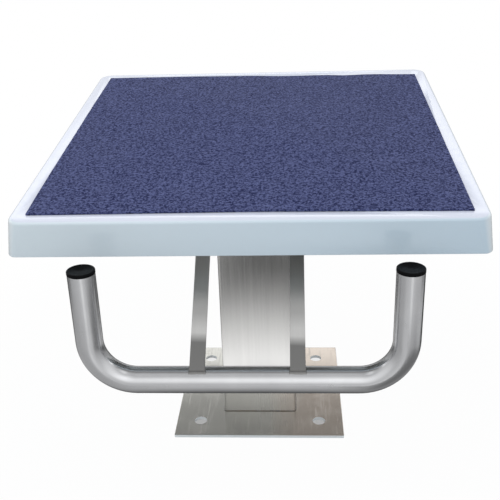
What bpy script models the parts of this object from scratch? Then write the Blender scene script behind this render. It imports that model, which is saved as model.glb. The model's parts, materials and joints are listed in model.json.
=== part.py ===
"""Pool diving platform: a sloping tray on one post, with a base plate and a front hand grip.

Units are metres. +Z is up and -Y faces the pool. The origin is the centre of the base
plate's underside. Platform pieces hang from an empty that carries the platform's slope:
its own origin is the centre of the tray's top surface, +Y runs up the slope and +Z is the
surface's normal.
"""

import math

import bmesh
import bpy
from mathutils import Matrix, Vector

# Clearances
GAP = 0.0003
HOLE_CLEARANCE = 0.0005

# Base plate
PLATE_SIDE = 0.270
PLATE_THICKNESS = 0.005
PLATE_CORNER = 0.002
PLATE_EDGE = 0.0005
ANCHOR_PITCH = 0.193
ANCHOR_HOLE_DIAMETER = 0.020

# Post
POST_WIDTH = 0.118
POST_DEPTH = 0.140
POST_WALL = 0.003
POST_CORNER = 0.004

# Platform: where the tray's top surface lies
PLATFORM_HEIGHT = 0.462
PLATFORM_SETBACK = 0.008
PLATFORM_SLOPE = math.radians(5.8)

# Tray, measured at the lip's lower edge
TRAY_WIDTH = 0.600
TRAY_LENGTH = 0.600
TRAY_LIP = 0.0455
TRAY_FLARE = 0.0045
TRAY_WALL = 0.004
TRAY_LOWER_CORNER = 0.012
TRAY_UPPER_CORNER = 0.020
TRAY_EDGE_ROUND = 0.005

# Anti-slip mat
MAT_SIDE_MARGIN = 0.024
MAT_FRONT_MARGIN = 0.024
MAT_BACK_MARGIN = 0.031
MAT_THICKNESS = 0.0025
MAT_CORNER = 0.0015

# Frame of square tubes under the tray
RAIL_SIDE = 0.025
RAIL_WALL = 0.0015
RAIL_CORNER = 0.003
FRAME_INSET = 0.030
INNER_RAIL_OFFSET = 0.0143
GRIP_RAIL_SPACE = 0.025

# Head plate on the post
HEAD_THICKNESS = 0.006
HEAD_MARGIN = 0.028
HEAD_CORNER = 0.006

# Hand grip, a bent pipe
GRIP_DIAMETER = 0.0337
GRIP_WALL = 0.0025
GRIP_SPACING = 0.386
GRIP_BEND = 0.056
GRIP_STANDOFF = 0.051
GRIP_DROP = 0.146
GRIP_RISE = 0.1476

# End caps of the grip
CAP_FLANGE = 0.004
CAP_OVERHANG = 0.0003
CAP_PLUG = 0.012
CAP_RIM = 0.0022
CAP_DISH = 0.0008
CAP_ROUND = 0.0012

# Straps that carry the grip
STRAP_WIDTH = 0.019
STRAP_THICKNESS = 0.004
STRAP_SIDE_CLEARANCE = 0.002
STRAP_BEND = 0.010
STRAP_SEAT = 0.030
STRAP_FOOT = 0.004
STRAP_EDGE = 0.0004

# Fasteners: thread diameter, width across flats, head height, nut height
POST_BOLT = {"thread": 0.010, "flats": 0.016, "head": 0.0064, "nut": 0.008}
STRAP_BOLT = {"thread": 0.008, "flats": 0.013, "head": 0.0053, "nut": 0.0065}
TRAY_SCREW = {"thread": 0.006, "flats": 0.010, "head": 0.0030, "nut": 0.005}
WASHER_RATIO = 2.0
WASHER_THICKNESS = 0.0016
BOLT_TIP = 0.002
SOCKET_ACROSS = 0.004
SOCKET_DEPTH = 0.0016
TRAY_SCREW_INSET = 0.070

# Facets
ROUND_SIDES = 32
HOLE_SIDES = 24
SMALL_SIDES = 16
BEND_STEPS = 10
STRAP_STEPS = 6
CORNER_STEPS = 6
EDGE_STEPS = 4

# Platform layers, from the tray's top surface down along the normal
RAIL_TOP = -TRAY_WALL - GAP
RAIL_BOTTOM = RAIL_TOP - RAIL_SIDE
HEAD_TOP = RAIL_BOTTOM - GAP
HEAD_BOTTOM = HEAD_TOP - HEAD_THICKNESS
POST_TOP = HEAD_BOTTOM - GAP

FRAME_WIDTH = TRAY_WIDTH - 2 * FRAME_INSET
FRAME_LENGTH = TRAY_LENGTH - 2 * FRAME_INSET
SIDE_RAIL_X = (FRAME_WIDTH - RAIL_SIDE) / 2
END_RAIL_V = (FRAME_LENGTH - RAIL_SIDE) / 2
INNER_RAIL_X = (POST_WIDTH + RAIL_SIDE) / 2 + INNER_RAIL_OFFSET


def platform_point(v, w):
    """Part-frame (y, z) of a platform point v up the slope and w along its normal."""
    cos, sin = math.cos(PLATFORM_SLOPE), math.sin(PLATFORM_SLOPE)
    return Vector((PLATFORM_SETBACK + v * cos - w * sin, PLATFORM_HEIGHT + v * sin + w * cos))


def slope_position_over(y, w):
    """Distance up the slope at which the layer w stands over the part-frame y."""
    return (y - PLATFORM_SETBACK + w * math.sin(PLATFORM_SLOPE)) / math.cos(PLATFORM_SLOPE)


# Head plate: centred over the post, reaching its rails
HEAD_V = slope_position_over(0.0, HEAD_BOTTOM)
HEAD_WIDTH = 2 * INNER_RAIL_X + RAIL_SIDE
HEAD_LENGTH = POST_DEPTH + 2 * HEAD_MARGIN
HEAD_BOLT_V = (POST_DEPTH + HEAD_MARGIN) / 2

# Grip rail and the straps' seats under it
GRIP_RAIL_V = HEAD_V - HEAD_LENGTH / 2 - GRIP_RAIL_SPACE - RAIL_SIDE / 2
GRIP_RAIL_LENGTH = 2 * INNER_RAIL_X - RAIL_SIDE - 2 * GAP
STRAP_X = INNER_RAIL_X - RAIL_SIDE / 2 - STRAP_SIDE_CLEARANCE - STRAP_WIDTH / 2
STRAP_LAYER = RAIL_BOTTOM - GAP - STRAP_THICKNESS / 2

# Grip: hung in front of the tray's lower front edge
TRAY_FRONT = platform_point(-TRAY_LENGTH / 2, -TRAY_LIP)
GRIP_RADIUS = GRIP_DIAMETER / 2
GRIP_Y = TRAY_FRONT.x - GRIP_STANDOFF
GRIP_Z = TRAY_FRONT.y - GRIP_DROP
GRIP_TOP = GRIP_Z + GRIP_RISE

PARTS = "diving_platform"
CUTTERS = "cutters"


def clear_scene():
    for item in list(bpy.data.objects):
        bpy.data.objects.remove(item, do_unlink=True)


def new_collection(name):
    collection = bpy.data.collections.new(name)
    bpy.context.scene.collection.children.link(collection)
    return collection


def place(name, data, collection, parent=None, location=(0, 0, 0), rotation=(0, 0, 0)):
    item = bpy.data.objects.new(name, data)
    bpy.data.collections[collection].objects.link(item)
    item.parent = parent
    item.location = location
    item.rotation_euler = rotation
    return item


def part(name, data, finish, parent=None, location=(0, 0, 0), rotation=(0, 0, 0)):
    """Place one piece and give it its own material: colour, metallic value, roughness."""
    item = place(name, data, PARTS, parent, location, rotation)
    colour, metallic, roughness = finish
    material = bpy.data.materials.new(name)
    material.use_nodes = True
    shader = material.node_tree.nodes["Principled BSDF"]
    shader.inputs["Base Color"].default_value = (*colour, 1.0)
    shader.inputs["Metallic"].default_value = metallic
    shader.inputs["Roughness"].default_value = roughness
    material.diffuse_color = (*colour, 1.0)
    item.data.materials.append(material)
    return item


def cutter(name, data, parent=None, location=(0, 0, 0), rotation=(0, 0, 0)):
    item = place(name, data, CUTTERS, parent, location, rotation)
    item.hide_render = True
    item.display_type = "WIRE"
    return item


def subtract(target, tool):
    modifier = target.modifiers.new(tool.name, "BOOLEAN")
    modifier.operation = "DIFFERENCE"
    modifier.solver = "EXACT"
    modifier.object = tool


def mesh_from(name, bm):
    mesh = bpy.data.meshes.new(name)
    bm.to_mesh(mesh)
    bm.free()
    return mesh


def smooth_round(mesh, angle=math.radians(35)):
    mesh.shade_smooth()
    mesh.set_sharp_from_angle(angle=angle)
    return mesh


def edges_along(bm, axis):
    """Edges that run along the given axis index."""
    chosen = []
    for edge in bm.edges:
        direction = (edge.verts[1].co - edge.verts[0].co).normalized()
        if abs(direction[axis]) > 0.9:
            chosen.append(edge)
    return chosen


def round_edges(bm, edges, radius, segments):
    bmesh.ops.bevel(bm, geom=edges, offset=radius, segments=segments, profile=0.5, affect="EDGES")


def slab_mesh(name, width, length, thickness, corner, segments=3):
    """Flat plate with rounded corners in plan, centred on its own origin."""
    bm = bmesh.new()
    bmesh.ops.create_cube(bm, size=1.0, matrix=Matrix.Diagonal((width, length, thickness, 1.0)))
    round_edges(bm, edges_along(bm, 2), corner, segments)
    return mesh_from(name, bm)


def tube_mesh(name, width, height, length, corner, segments=3):
    """Outer skin of a rectangular tube along Y, without its ends."""
    bm = bmesh.new()
    bmesh.ops.create_cube(bm, size=1.0, matrix=Matrix.Diagonal((width, length, height, 1.0)))
    ends = [face for face in bm.faces if abs(face.normal.y) > 0.9]
    bmesh.ops.delete(bm, geom=ends, context="FACES")
    round_edges(bm, edges_along(bm, 1), corner, segments)
    return smooth_round(mesh_from(name, bm))


def add_wall(item, thickness):
    modifier = item.modifiers.new("wall", "SOLIDIFY")
    modifier.thickness = thickness
    modifier.offset = -1.0
    modifier.use_even_offset = True


def soften(item, width, segments=1):
    modifier = item.modifiers.new("soft edges", "BEVEL")
    modifier.width = width
    modifier.segments = segments
    modifier.limit_method = "ANGLE"
    modifier.angle_limit = math.radians(50)


def prism_mesh(name, radius, height, sides):
    """Upright prism from z = 0 to z = height; the radius is at its corners."""
    bm = bmesh.new()
    bmesh.ops.create_cone(
        bm,
        cap_ends=True,
        segments=sides,
        radius1=radius,
        radius2=radius,
        depth=height,
        matrix=Matrix.Translation((0, 0, height / 2)),
    )
    return mesh_from(name, bm)


def turned_object(name, profile, sides):
    """Temporary object turned about Z from (radius, height) points, top to bottom."""
    bm = bmesh.new()
    verts = [bm.verts.new((radius, 0, height)) for radius, height in profile]
    for first, second in zip(verts, verts[1:]):
        bm.edges.new((first, second))
    item = place(name, mesh_from(name, bm), CUTTERS)
    modifier = item.modifiers.new("turn", "SCREW")
    modifier.steps = sides
    modifier.render_steps = sides
    modifier.use_merge_vertices = True
    modifier.merge_threshold = 0.00001
    return item


def settled_mesh(name, item):
    """Mesh of an object with its modifiers or bevel applied; the object goes."""
    bpy.context.view_layer.update()
    evaluated = item.evaluated_get(bpy.context.evaluated_depsgraph_get())
    mesh = bpy.data.meshes.new_from_object(evaluated)
    mesh.name = name
    bpy.data.objects.remove(item, do_unlink=True)
    bm = bmesh.new()
    bm.from_mesh(mesh)
    bmesh.ops.remove_doubles(bm, verts=bm.verts, dist=0.000001)
    bm.to_mesh(mesh)
    bm.free()
    return mesh


def combined_mesh(name, base, tool, operation):
    """Mesh of two meshes joined, or of the first cut by the second."""
    base_item = place(name + " base", base, CUTTERS)
    tool_item = place(name + " tool", tool, CUTTERS)
    modifier = base_item.modifiers.new("combine", "BOOLEAN")
    modifier.operation = operation
    modifier.solver = "EXACT"
    modifier.object = tool_item
    mesh = settled_mesh(name, base_item)
    bpy.data.objects.remove(tool_item, do_unlink=True)
    return mesh


def moved(mesh, z):
    mesh.transform(Matrix.Translation((0, 0, z)))
    return mesh


def corner_radius(flats):
    """Corner radius of a hexagon of this width across flats."""
    return flats / 2 / math.cos(math.pi / 6)


def hex_bolt_mesh(name, size, grip):
    """Bolt with its head below z = 0 and its shank up to the nut's far face and a tip."""
    head = moved(prism_mesh(name, corner_radius(size["flats"]), size["head"], 6), -size["head"])
    overlap = size["head"] / 2
    length = grip + size["nut"] + BOLT_TIP + overlap
    shank = moved(prism_mesh(name, size["thread"] / 2, length, SMALL_SIDES), -overlap)
    return smooth_round(combined_mesh(name, head, shank, "UNION"))


def nut_mesh(name, size):
    """Hexagon nut from z = 0 to its height."""
    body = prism_mesh(name, corner_radius(size["flats"]), size["nut"], 6)
    bore = prism_mesh(name, size["thread"] / 2 + GAP, size["nut"] * 2, SMALL_SIDES)
    return smooth_round(combined_mesh(name, body, moved(bore, -size["nut"] / 2), "DIFFERENCE"))


def washer_mesh(name, size):
    """Flat washer hanging down from z = 0."""
    body = prism_mesh(name, size["thread"] / 2 * WASHER_RATIO, WASHER_THICKNESS, HOLE_SIDES)
    bore = prism_mesh(name, size["thread"] / 2 + GAP, WASHER_THICKNESS * 3, SMALL_SIDES)
    ring = combined_mesh(name, body, moved(bore, -WASHER_THICKNESS), "DIFFERENCE")
    return smooth_round(moved(ring, -WASHER_THICKNESS))


STEEL = ((0.56, 0.55, 0.53), 1.0, 0.36)
PIPE = ((0.58, 0.58, 0.59), 1.0, 0.24)
FASTENER = ((0.60, 0.60, 0.60), 1.0, 0.30)
GEL_COAT = ((0.80, 0.84, 0.88), 0.0, 0.22)
MAT_BLUE = ((0.060, 0.070, 0.190), 0.0, 0.90)
BLACK = ((0.012, 0.012, 0.013), 0.0, 0.45)


def make_base_plate():
    mesh = slab_mesh("base_plate", PLATE_SIDE, PLATE_SIDE, PLATE_THICKNESS, PLATE_CORNER)
    plate = part("base_plate", mesh, STEEL, location=(0, 0, PLATE_THICKNESS / 2))
    soften(plate, PLATE_EDGE)
    for side in (-1, 1):
        for end in (-1, 1):
            bore = prism_mesh("anchor hole", ANCHOR_HOLE_DIAMETER / 2, PLATE_THICKNESS * 3, HOLE_SIDES)
            centre = (side * ANCHOR_PITCH / 2, end * ANCHOR_PITCH / 2, -PLATE_THICKNESS)
            subtract(plate, cutter("anchor hole", bore, location=centre))


def make_post(platform):
    """Rectangular post, cut to the platform's slope under the head plate."""
    blank_top = platform_point(HEAD_V + POST_DEPTH, POST_TOP).y
    length = blank_top - PLATE_THICKNESS - GAP
    mesh = tube_mesh("post", POST_WIDTH, POST_DEPTH, length, POST_CORNER)
    mesh.transform(Matrix.Rotation(math.pi / 2, 4, "X"))
    post = part("post", mesh, STEEL, location=(0, 0, PLATE_THICKNESS + GAP + length / 2))
    add_wall(post, POST_WALL)
    reach = POST_DEPTH * 2
    block = slab_mesh("post top cut", reach, reach, reach, POST_CORNER)
    centre = (0, HEAD_V, POST_TOP + reach / 2)
    subtract(post, cutter("post top cut", block, platform, centre))


def tray_ring(w, inset):
    """Counter-clockwise outline of the flared lip at the layer w, drawn in by an inset."""
    rise = 1 + w / TRAY_LIP
    radius = TRAY_LOWER_CORNER + (TRAY_UPPER_CORNER - TRAY_LOWER_CORNER) * rise - inset
    half_x = TRAY_WIDTH / 2 - TRAY_FLARE * rise - inset
    half_v = TRAY_LENGTH / 2 - TRAY_FLARE * rise - inset
    points = []
    for quarter, (side, end) in enumerate(((1, 1), (-1, 1), (-1, -1), (1, -1))):
        centre = Vector((side * (half_x - radius), end * (half_v - radius)))
        start = quarter * math.pi / 2
        points += arc(centre, radius, start, start + math.pi / 2, CORNER_STEPS)
    return [(point.x, point.y, w) for point in points]


def tray_mesh(name):
    """Open tray skin: top sheet and flared lip, with the origin in the top surface."""
    rings = [tray_ring(-TRAY_LIP, 0.0)]
    for step in range(EDGE_STEPS + 1):
        angle = math.pi / 2 * step / EDGE_STEPS
        drop = TRAY_EDGE_ROUND * (1 - math.sin(angle))
        rings.append(tray_ring(-drop, TRAY_EDGE_ROUND * (1 - math.cos(angle))))
    bm = bmesh.new()
    rows = [[bm.verts.new(point) for point in ring] for ring in rings]
    for lower, upper in zip(rows, rows[1:]):
        for i in range(len(lower)):
            j = (i + 1) % len(lower)
            bm.faces.new((lower[i], lower[j], upper[j], upper[i]))
    bm.faces.new(rows[-1])
    return smooth_round(mesh_from(name, bm))


def tray_screw_places():
    """Screws near the side rails' ends, and one in the middle of each end rail."""
    half = FRAME_LENGTH / 2 - TRAY_SCREW_INSET
    sides = [(x, v) for x in (-SIDE_RAIL_X, SIDE_RAIL_X) for v in (-half, half)]
    return sides + [(0.0, -END_RAIL_V), (0.0, END_RAIL_V)]


def countersink_profile(clearance):
    """Half outline of a flat head and its shank, or of the hole for them."""
    shank = TRAY_SCREW["thread"] / 2 + clearance
    head = shank + TRAY_SCREW["head"]
    depth = TRAY_WALL + 2 * GAP + RAIL_WALL + TRAY_SCREW["nut"] + BOLT_TIP
    return [(0, 0), (head, 0), (shank, -TRAY_SCREW["head"]), (shank, -depth), (0, -depth)]


def make_tray(platform):
    tray = part("platform_tray", tray_mesh("platform_tray"), GEL_COAT, platform)
    add_wall(tray, TRAY_WALL)
    hole = turned_object("screw hole", countersink_profile(GAP), HOLE_SIDES)
    hole_mesh = settled_mesh("screw hole", hole)
    for x, v in tray_screw_places():
        subtract(tray, cutter("screw hole", hole_mesh, platform, (x, v, 0)))


def make_mat(platform):
    width = TRAY_WIDTH - 2 * MAT_SIDE_MARGIN
    length = TRAY_LENGTH - MAT_FRONT_MARGIN - MAT_BACK_MARGIN
    centre = (0, (MAT_FRONT_MARGIN - MAT_BACK_MARGIN) / 2, GAP + MAT_THICKNESS / 2)
    mesh = slab_mesh("anti_slip_mat", width, length, MAT_THICKNESS, MAT_CORNER)
    part("anti_slip_mat", mesh, MAT_BLUE, platform, centre)


def make_tray_screws(platform):
    body = settled_mesh("tray_screw", turned_object("tray screw", countersink_profile(0.0), HOLE_SIDES))
    socket = moved(prism_mesh("socket", corner_radius(SOCKET_ACROSS), SOCKET_DEPTH * 2, 6), -SOCKET_DEPTH)
    mesh = smooth_round(combined_mesh("tray_screw", body, socket, "DIFFERENCE"))
    nut = nut_mesh("tray_nut", TRAY_SCREW)
    nut_w = RAIL_TOP - RAIL_WALL - GAP - TRAY_SCREW["nut"]
    for number, (x, v) in enumerate(tray_screw_places(), start=1):
        part(f"tray_screw_{number}", mesh.copy(), FASTENER, platform, (x, v, -GAP))
        part(f"tray_nut_{number}", nut.copy(), FASTENER, platform, (x, v, nut_w))


def rail(name, platform, length, x, v, across):
    """Square tube under the tray, along the slope or across it."""
    mesh = tube_mesh(name, RAIL_SIDE, RAIL_SIDE, length, RAIL_CORNER, segments=2)
    turn = (0, 0, math.pi / 2) if across else (0, 0, 0)
    item = part(name, mesh, STEEL, platform, (x, v, (RAIL_TOP + RAIL_BOTTOM) / 2), turn)
    add_wall(item, RAIL_WALL)
    return item


def drill(item, platform, diameter, x, v, w):
    """Bolt hole through one wall, centred on the layer w."""
    depth = 4 * RAIL_WALL
    bore = prism_mesh("bolt hole", diameter / 2 + HOLE_CLEARANCE, depth, HOLE_SIDES)
    subtract(item, cutter("bolt hole", bore, platform, (x, v, w - depth / 2)))


def head_bolt_places():
    sides = (-INNER_RAIL_X, INNER_RAIL_X)
    ends = (HEAD_V - HEAD_BOLT_V, HEAD_V + HEAD_BOLT_V)
    return [(x, v) for x in sides for v in ends]


def make_frame(platform):
    """Four outer rails, two inner rails over the head plate, and the grip's cross rail."""
    between_sides = FRAME_WIDTH - 2 * RAIL_SIDE - 2 * GAP
    between_ends = FRAME_LENGTH - 2 * RAIL_SIDE - 2 * GAP
    rails = {}
    for label, sign in (("left", -1), ("right", 1)):
        outer = f"side_rail_{label}"
        inner = f"inner_rail_{label}"
        rails[outer] = rail(outer, platform, FRAME_LENGTH, sign * SIDE_RAIL_X, 0, across=False)
        rails[inner] = rail(inner, platform, between_ends, sign * INNER_RAIL_X, 0, across=False)
    rails["front_rail"] = rail("front_rail", platform, between_sides, 0, -END_RAIL_V, across=True)
    rails["rear_rail"] = rail("rear_rail", platform, between_sides, 0, END_RAIL_V, across=True)
    rails["grip_rail"] = rail("grip_rail", platform, GRIP_RAIL_LENGTH, 0, GRIP_RAIL_V, across=True)

    for x, v in tray_screw_places():
        end = "front_rail" if v < 0 else "rear_rail"
        side = "side_rail_left" if x < 0 else "side_rail_right"
        target = rails[side] if x else rails[end]
        drill(target, platform, TRAY_SCREW["thread"], x, v, RAIL_TOP)
    for x, v in head_bolt_places():
        target = rails["inner_rail_left"] if x < 0 else rails["inner_rail_right"]
        drill(target, platform, POST_BOLT["thread"], x, v, RAIL_BOTTOM)
    for x in (-STRAP_X, STRAP_X):
        drill(rails["grip_rail"], platform, STRAP_BOLT["thread"], x, GRIP_RAIL_V, RAIL_BOTTOM)


def make_head_plate(platform):
    mesh = slab_mesh("head_plate", HEAD_WIDTH, HEAD_LENGTH, HEAD_THICKNESS, HEAD_CORNER)
    centre = (0, HEAD_V, (HEAD_TOP + HEAD_BOTTOM) / 2)
    head = part("head_plate", mesh, STEEL, platform, centre)
    for x, v in head_bolt_places():
        radius = POST_BOLT["thread"] / 2 + HOLE_CLEARANCE
        bore = prism_mesh("head hole", radius, HEAD_THICKNESS * 3, HOLE_SIDES)
        low = HEAD_BOTTOM - HEAD_THICKNESS
        subtract(head, cutter("head hole", bore, platform, (x, v, low)))


def make_bolt_set(platform, label, size, places, seat):
    """Bolt, washer and weld nut at each place; seat is the clamped piece's lower face."""
    head_seat = seat - GAP - WASHER_THICKNESS - GAP
    nut_seat = RAIL_BOTTOM + RAIL_WALL + GAP
    bolt = hex_bolt_mesh(f"{label}_bolt", size, nut_seat - head_seat)
    nut = nut_mesh(f"{label}_nut", size)
    washer = washer_mesh(f"{label}_washer", size)
    for number, (x, v) in enumerate(places, start=1):
        part(f"{label}_bolt_{number}", bolt.copy(), FASTENER, platform, (x, v, head_seat))
        part(f"{label}_washer_{number}", washer.copy(), FASTENER, platform, (x, v, seat - GAP))
        part(f"{label}_nut_{number}", nut.copy(), FASTENER, platform, (x, v, nut_seat))


def arc(centre, radius, start, end, steps):
    """Points on a circle in a plane, from one angle to another, both included."""
    turn = (end - start) / steps
    angles = [start + turn * step for step in range(steps + 1)]
    return [Vector((centre.x + radius * math.cos(a), centre.y + radius * math.sin(a))) for a in angles]


def grip_path(extra):
    """Centre line of the grip in (x, z): down one arm, across and up the other."""
    half = GRIP_SPACING / 2
    low = GRIP_Z + GRIP_BEND
    inner = half - GRIP_BEND
    left = arc(Vector((-inner, low)), GRIP_BEND, math.pi, 1.5 * math.pi, BEND_STEPS)
    right = arc(Vector((inner, low)), GRIP_BEND, 1.5 * math.pi, 2 * math.pi, BEND_STEPS)
    top = GRIP_TOP + extra
    return [Vector((-half, top))] + left + right + [Vector((half, top))]


def pipe_mesh(name, radius, extra):
    """Round bar along the grip's centre line, welded at its caps."""
    curve = bpy.data.curves.new(name, "CURVE")
    curve.dimensions = "3D"
    curve.bevel_depth = radius
    curve.bevel_resolution = (ROUND_SIDES - 4) // 2
    curve.use_fill_caps = True
    points = grip_path(extra)
    spline = curve.splines.new("POLY")
    spline.points.add(len(points) - 1)
    for knot, point in zip(spline.points, points):
        knot.co = (point.x, GRIP_Y, point.y, 1.0)
    return settled_mesh(name, place(name, curve, CUTTERS))


def make_grip():
    mesh = smooth_round(pipe_mesh("hand_grip", GRIP_RADIUS, 0.0))
    grip = part("hand_grip", mesh, PIPE)
    subtract(grip, cutter("grip bore", pipe_mesh("grip bore", GRIP_RADIUS - GRIP_WALL, CAP_PLUG)))


def make_end_caps():
    """Black plugs with a dished flange, pushed into the grip's open ends."""
    flange = GRIP_RADIUS + CAP_OVERHANG
    plug = GRIP_RADIUS - GRIP_WALL - GAP
    rim = flange - CAP_ROUND - CAP_RIM
    corner = CAP_ROUND * (1 - math.sqrt(0.5))
    profile = [
        (0, CAP_FLANGE - CAP_DISH),
        (rim - CAP_DISH, CAP_FLANGE - CAP_DISH),
        (rim, CAP_FLANGE),
        (flange - CAP_ROUND, CAP_FLANGE),
        (flange - corner, CAP_FLANGE - corner),
        (flange, CAP_FLANGE - CAP_ROUND),
        (flange, 0),
        (plug, 0),
        (plug, -CAP_PLUG),
        (0, -CAP_PLUG),
    ]
    mesh = smooth_round(settled_mesh("end_cap", turned_object("end cap", profile, ROUND_SIDES)))
    for label, sign in (("left", -1), ("right", 1)):
        place_at = (sign * GRIP_SPACING / 2, GRIP_Y, GRIP_TOP + GAP)
        part(f"end_cap_{label}", mesh.copy(), BLACK, location=place_at)


def strap_outline():
    """Side outline of a strap in (y, z): a leg over the grip, a bend and a seat on top."""
    axis = Vector((GRIP_Y, GRIP_Z))
    half = STRAP_THICKNESS / 2
    offset = GRIP_RADIUS + GAP + half
    knee = platform_point(GRIP_RAIL_V - RAIL_SIDE / 2, STRAP_LAYER)
    reach = knee - axis
    lean = math.atan2(reach.y, reach.x) - math.asin(offset / reach.length)
    along = Vector((math.cos(lean), math.sin(lean)))
    normal = Vector((-along.y, along.x))
    foot = axis + normal * offset + along * STRAP_FOOT

    seat_along = Vector((math.cos(PLATFORM_SLOPE), math.sin(PLATFORM_SLOPE)))
    seat_normal = Vector((-seat_along.y, seat_along.x))
    tip = knee + seat_along * STRAP_SEAT
    setback = STRAP_BEND * math.tan((lean - PLATFORM_SLOPE) / 2)
    centre = knee - along * setback - normal * STRAP_BEND
    start = math.pi / 2 + lean
    end = math.pi / 2 + PLATFORM_SLOPE
    upper = arc(centre, STRAP_BEND + half, start, end, STRAP_STEPS)
    lower = arc(centre, STRAP_BEND - half, end, start, STRAP_STEPS)
    return (
        [foot + normal * half]
        + upper
        + [tip + seat_normal * half, tip - seat_normal * half]
        + lower
        + [foot - normal * half]
    )


def strap_mesh(name):
    curve = bpy.data.curves.new(name, "CURVE")
    curve.dimensions = "2D"
    curve.fill_mode = "BOTH"
    curve.extrude = STRAP_WIDTH / 2
    points = strap_outline()
    spline = curve.splines.new("POLY")
    spline.points.add(len(points) - 1)
    for knot, point in zip(spline.points, points):
        knot.co = (point.x, point.y, 0.0, 1.0)
    spline.use_cyclic_u = True
    return smooth_round(settled_mesh(name, place(name, curve, CUTTERS)), math.radians(20))


def make_straps(platform):
    for label, sign in (("left", -1), ("right", 1)):
        name = f"strap_{label}"
        turn = (math.pi / 2, 0, math.pi / 2)
        strap = part(name, strap_mesh(name), STEEL, location=(sign * STRAP_X, 0, 0), rotation=turn)
        soften(strap, STRAP_EDGE)
        depth = 3 * STRAP_THICKNESS
        radius = STRAP_BOLT["thread"] / 2 + HOLE_CLEARANCE
        bore = prism_mesh("strap hole", radius, depth, HOLE_SIDES)
        centre = (sign * STRAP_X, GRIP_RAIL_V, STRAP_LAYER - depth / 2)
        subtract(strap, cutter("strap hole", bore, platform, centre))


def make_platform_empty():
    empty = place("platform_datum", None, PARTS)
    empty.location = (0, PLATFORM_SETBACK, PLATFORM_HEIGHT)
    empty.rotation_euler = (PLATFORM_SLOPE, 0, 0)
    return empty


def main():
    clear_scene()
    new_collection(PARTS)
    new_collection(CUTTERS)
    platform = make_platform_empty()
    make_base_plate()
    make_post(platform)
    make_head_plate(platform)
    make_frame(platform)
    make_tray(platform)
    make_mat(platform)
    make_tray_screws(platform)
    make_bolt_set(platform, "head", POST_BOLT, head_bolt_places(), HEAD_BOTTOM)
    seats = [(-STRAP_X, GRIP_RAIL_V), (STRAP_X, GRIP_RAIL_V)]
    make_bolt_set(platform, "strap", STRAP_BOLT, seats, STRAP_LAYER - STRAP_THICKNESS / 2)
    make_grip()
    make_end_caps()
    make_straps(platform)


main()
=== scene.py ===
"""Looks of the pool diving platform: its finishes, smooth shells, welds, light and camera.

Units are metres in the part's frame: +Z up, -Y towards the pool. Platform pieces are placed by
x, by v up the platform's slope and by w along its normal, from the tray's top surface.
"""

import json
import math
from functools import reduce

import bmesh
import bpy
from mathutils import Matrix, Vector, noise


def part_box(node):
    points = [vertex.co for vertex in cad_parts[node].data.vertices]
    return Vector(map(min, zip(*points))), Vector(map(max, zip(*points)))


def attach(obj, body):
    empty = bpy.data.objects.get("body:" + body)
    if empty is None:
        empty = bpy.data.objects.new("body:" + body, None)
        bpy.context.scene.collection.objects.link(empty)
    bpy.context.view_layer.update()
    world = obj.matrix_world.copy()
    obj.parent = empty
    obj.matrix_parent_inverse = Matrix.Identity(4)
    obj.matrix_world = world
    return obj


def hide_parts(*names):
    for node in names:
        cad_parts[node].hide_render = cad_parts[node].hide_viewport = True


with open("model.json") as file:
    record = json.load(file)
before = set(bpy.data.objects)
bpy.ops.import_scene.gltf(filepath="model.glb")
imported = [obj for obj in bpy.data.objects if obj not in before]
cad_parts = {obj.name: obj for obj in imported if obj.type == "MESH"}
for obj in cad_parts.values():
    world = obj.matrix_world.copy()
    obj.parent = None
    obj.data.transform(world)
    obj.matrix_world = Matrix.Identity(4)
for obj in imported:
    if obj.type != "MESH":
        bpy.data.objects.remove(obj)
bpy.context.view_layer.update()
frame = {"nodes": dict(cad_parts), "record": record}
nodes = frame["nodes"]

# Camera
IMAGE_SIDE = 500
FOCAL_PIXELS = 800.7
SENSOR_WIDTH = 36.0
CAMERA_PLACE = Vector((0.0582, -1.1788, 0.7887))
CAMERA_YAW = -0.05996
CAMERA_PITCH = 0.41591
CAMERA_ROLL = 0.03241

# Tray, with sizes that the solids only hold as facets
TRAY_WALL = 0.004
TRAY_LOWER_CORNER = 0.012
TRAY_UPPER_CORNER = 0.020
TRAY_LEAST_CORNER = 0.002
TRAY_EDGE_ROUND = 0.0038
TRAY_RIM_ROUND = 0.0012
TRAY_FLARE = 0.0045
TRAY_INSIDE_MARGIN = 0.001
SCREW_HEAD_RADIUS = 0.0063
SCREW_SHANK_RADIUS = 0.0033
SCREW_HEAD_HEIGHT = 0.003

# Mat
MAT_EDGE = 0.0006
MAT_WAVE = 0.0003
MAT_WAVE_MIDDLE = 0.6
MAT_WAVES_PER_METRE = 30
MAT_NOISE_LEVEL = 0.7
MAT_STEPS = 90
MAT_SINK = 0.00005

# Grip, its caps and its straps
PIPE_RADIUS = 0.01685
PIPE_WALL = 0.0025
PIPE_BEND = 0.056
CAP_ROUND = 0.0012
CAP_RIM = 0.0022
CAP_RIM_ROUND = 0.0006
CAP_DISH = 0.0008
CAP_PLUG = 0.012
CAP_CHAMFER = 0.0008
CAP_CLEARANCE = 0.0003
CAP_CENTRE = 0.0004
GATE_RADIUS = 0.0045
GATE_ROUND = 0.0005
GATE_DEPTH = 0.0003
STRAP_THICKNESS = 0.004

# Post, plates and rails
POST_CORNER = 0.004
POST_INNER_CORNER = 0.0013
POST_WALL = 0.003
POST_GAP = 0.0003
PLATE_EDGE = 0.0006
PLATE_CORNER = 0.002
PLATE_FLAT = 0.001
ANCHOR_PITCH = 0.193
ANCHOR_HOLE_RADIUS = 0.010
HEAD_CORNER = 0.006
RAIL_CORNER = 0.003
RAIL_WALL = 0.0015
SIDE_RAILS = ("side_rail_left", "side_rail_right")
INNER_RAILS = ("inner_rail_left", "inner_rail_right")
CROSS_RAILS = ("front_rail", "rear_rail", "grip_rail")
HOLE_CLEARANCE = 0.0005

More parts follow.
